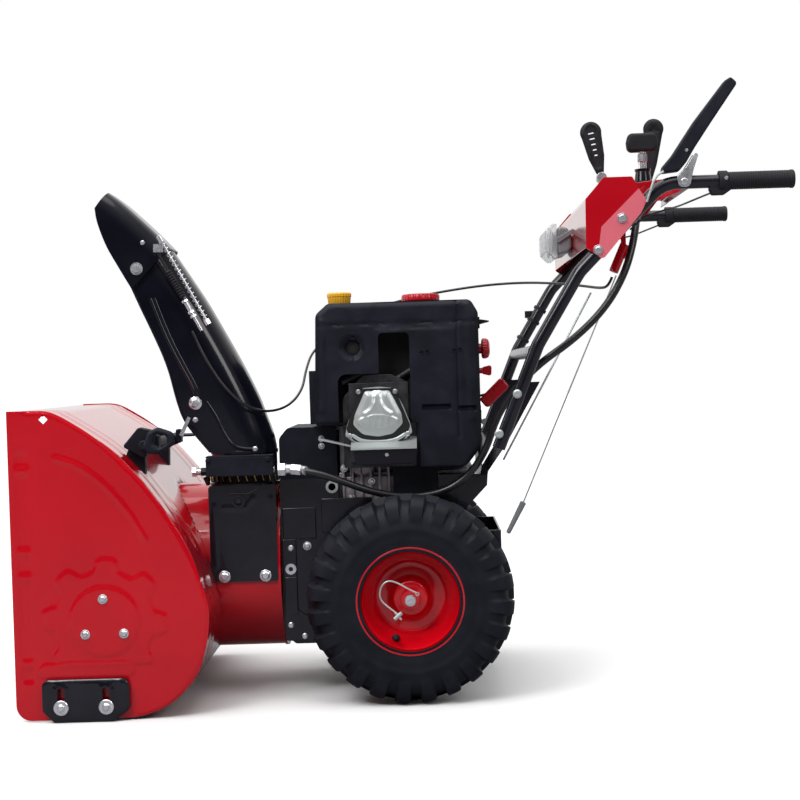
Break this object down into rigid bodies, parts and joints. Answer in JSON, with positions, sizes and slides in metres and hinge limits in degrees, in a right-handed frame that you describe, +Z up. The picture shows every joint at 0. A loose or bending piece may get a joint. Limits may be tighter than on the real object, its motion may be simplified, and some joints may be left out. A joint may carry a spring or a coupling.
{
  "type": "snow blower",
  "caption": "Walk-behind two-stage snow blower: auger housing, swivelling discharge chute, engine on a wheeled chassis and twin handlebars.",
  "frame": {"origin": "on the ground, below the middle of the machine's box", "axes": "+Z up, -X the machine's front (auger), +X the operator's end, -Y the operator's left"},
  "size_m": [1.314, 0.6584, 1.0291],
  "materials": {
    "red_paint": "gloss enamel",
    "black_paint": "satin black",
    "black_gloss": "gloss black",
    "black_plastic": "textured",
    "zinc": "zinc plated",
    "bright_steel": "pressed bright",
    "alloy": "as cast",
    "iron": "painted casting",
    "tyre": "matte rubber",
    "rubber": "matte",
    "lens": "clear",
    "grey_plastic": "satin grey",
    "red_plastic": "moulded red",
    "yellow_plastic": "moulded yellow",
    "brass": "yellow passivated"
  },
  "bodies": {
    "machine": {"housing_wrap": "red_paint", "side_plate_left": "red_paint", "side_plate_right": "red_paint", "impeller_drum": "red_paint", "scraper_bar": "black_paint", "bearing_flanges": "zinc", "fasteners": "zinc", "auger_gearbox": "iron", "chute_neck": "black_paint", "worm_cover": "black_plastic", "chassis_frame": "black_paint", "belt_cover": "black_plastic", "engine_block": "alloy", "valve_cover": "bright_steel", "heat_shield": "bright_steel", "engine_shroud": "black_plastic", "muffler": "iron", "handle_left": "black_paint", "handle_right": "black_paint", "handle_brackets": "black_paint", "cross_brace": "black_paint", "grips": "rubber", "dash_panel": "red_paint", "headlamp_housing": "grey_plastic", "headlamp_lens": "lens", "control_brackets": "red_paint", "flex_shaft": "rubber", "deflector_cable": "rubber", "control_rods": "zinc", "tool_clip": "black_plastic"},
    "drive": {"axle": "zinc", "tyre_left": "tyre", "tyre_right": "tyre", "rim_left": "red_paint", "rim_right": "red_paint", "lynch_pins": "zinc"},
    "auger": {"auger_shaft": "black_paint", "auger_flights": "black_paint"},
    "impeller": {"impeller": "black_paint", "impeller_pulley": "zinc"},
    "crank": {"crankshaft": "zinc"},
    "worm": {"worm_shaft": "zinc"},
    "chute": {"chute": "black_gloss", "ring_gear": "brass", "deflector_spring": "zinc"},
    "deflector": {"deflector": "black_gloss"},
    "deflector_lever": {"deflector_lever": "black_plastic"},
    "speed_lever": {"speed_lever": "black_plastic"},
    "chute_knob": {"chute_knob": "black_plastic"},
    "clutch_left": {"clutch_lever_left": "black_plastic"},
    "clutch_right": {"clutch_lever_right": "black_plastic"},
    "recoil": {"recoil_handle": "red_plastic"},
    "fuel_cap": {"fuel_cap": "red_plastic"},
    "oil_cap": {"oil_cap": "yellow_plastic"},
    "choke": {"choke_knob": "red_plastic"},
    "key": {"ignition_key": "red_plastic"},
    "throttle": {"throttle_lever": "black_plastic"},
    "shoe_left": {"skid_shoe_left": "black_paint"},
    "shoe_right": {"skid_shoe_right": "black_paint"},
    "tool": {"cleanout_tool": "black_plastic"}
  },
  "joints": [
    {"name": "wheel_spin", "type": "hinge", "parent": "machine", "child": "drive", "pos_m": [0.0035, 0, 0.1775], "axis": [0, 1, 0], "continuous": true},
    {"name": "auger_spin", "type": "hinge", "parent": "machine", "child": "auger", "pos_m": [-0.505, 0, 0.164], "axis": [0, 1, 0], "continuous": true},
    {"name": "impeller_spin", "type": "hinge", "parent": "machine", "child": "impeller", "pos_m": [-0.3, 0, 0.221], "axis": [1, 0, 0], "continuous": true},
    {"name": "crank_spin", "type": "hinge", "parent": "machine", "child": "crank", "pos_m": [-0.19, 0, 0.42], "axis": [1, 0, 0], "continuous": true},
    {"name": "chute_rotate", "type": "hinge", "parent": "machine", "child": "chute", "pos_m": [-0.287, -0.09, 0.4], "axis": [0, 0, 1], "range_deg": [-90, 90], "deforming": ["deflector_cable"]},
    {"name": "worm_spin", "type": "hinge", "parent": "machine", "child": "worm", "pos_m": [-0.3, -0.1626, 0.4], "axis": [1, 0, 0], "range_deg": [-1080, 1080]},
    {"name": "knob_turn", "type": "hinge", "parent": "machine", "child": "chute_knob", "pos_m": [0.431, -0.14, 0.93], "axis": [0, 0, 1], "range_deg": [-1080, 1080]},
    {"name": "deflector_tilt", "type": "hinge", "parent": "chute", "child": "deflector", "pos_m": [-0.458, -0.09, 0.758], "axis": [0, -1, 0], "range_deg": [0, 50], "deforming": ["deflector_spring"]},
    {"name": "deflector_lever_tilt", "type": "hinge", "parent": "machine", "child": "deflector_lever", "pos_m": [0.352, -0.2, 0.884], "axis": [0, 1, 0], "range_deg": [0, 30]},
    {"name": "speed_select", "type": "hinge", "parent": "machine", "child": "speed_lever", "pos_m": [0.472, 0.12, 0.892], "axis": [0, 1, 0], "range_deg": [-20, 20]},
    {"name": "drive_clutch", "type": "hinge", "parent": "machine", "child": "clutch_left", "pos_m": [0.475, -0.3, 0.861], "axis": [0, 1, 0], "range_deg": [0, 42], "stiffness_Nm_per_rad": 0.8, "springref_deg": -20.05},
    {"name": "auger_clutch", "type": "hinge", "parent": "machine", "child": "clutch_right", "pos_m": [0.475, 0.3, 0.861], "axis": [0, -1, 0], "range_deg": [0, 60]},
    {"name": "recoil_pull", "type": "slide", "parent": "machine", "child": "recoil", "axis": [1, 0, 0], "range_m": [0, 0.3], "stiffness_N_per_m": 20, "springref_m": -0.05},
    {"name": "fuel_cap_turn", "type": "hinge", "parent": "machine", "child": "fuel_cap", "pos_m": [0.036, 0, 0.7], "axis": [0, 0, 1], "range_deg": [0, 90]},
    {"name": "oil_cap_turn", "type": "hinge", "parent": "machine", "child": "oil_cap", "pos_m": [-0.1135, 0, 0.7], "axis": [0, 0, 1], "range_deg": [0, 90]},
    {"name": "choke_turn", "type": "hinge", "parent": "machine", "child": "choke", "pos_m": [0.145, -0.12, 0.6], "axis": [1, 0, 0], "range_deg": [0, 90]},
    {"name": "key_pull", "type": "slide", "parent": "machine", "child": "key", "axis": [1, 0, 0], "range_m": [0, 0.015]},
    {"name": "throttle_slide", "type": "slide", "parent": "machine", "child": "throttle", "axis": [0, 0, 1], "range_m": [-0.015, 0.005]},
    {"name": "shoe_left_drop", "type": "slide", "parent": "machine", "child": "shoe_left", "axis": [0, 0, -1], "range_m": [0, 0.018]},
    {"name": "shoe_right_drop", "type": "slide", "parent": "machine", "child": "shoe_right", "axis": [0, 0, -1], "range_m": [0, 0.018]},
    {"name": "tool_lift", "type": "slide", "parent": "machine", "child": "tool", "axis": [0, 0, 1], "range_m": [0, 0.12]}
  ],
  "couplings": [
    {"joint": "impeller_spin", "follows": "auger_spin", "ratio": 10},
    {"joint": "worm_spin", "follows": "chute_rotate", "ratio": 12},
    {"joint": "knob_turn", "follows": "chute_rotate", "ratio": 12},
    {"joint": "deflector_lever_tilt", "follows": "deflector_tilt", "ratio": 0.6}
  ]
}
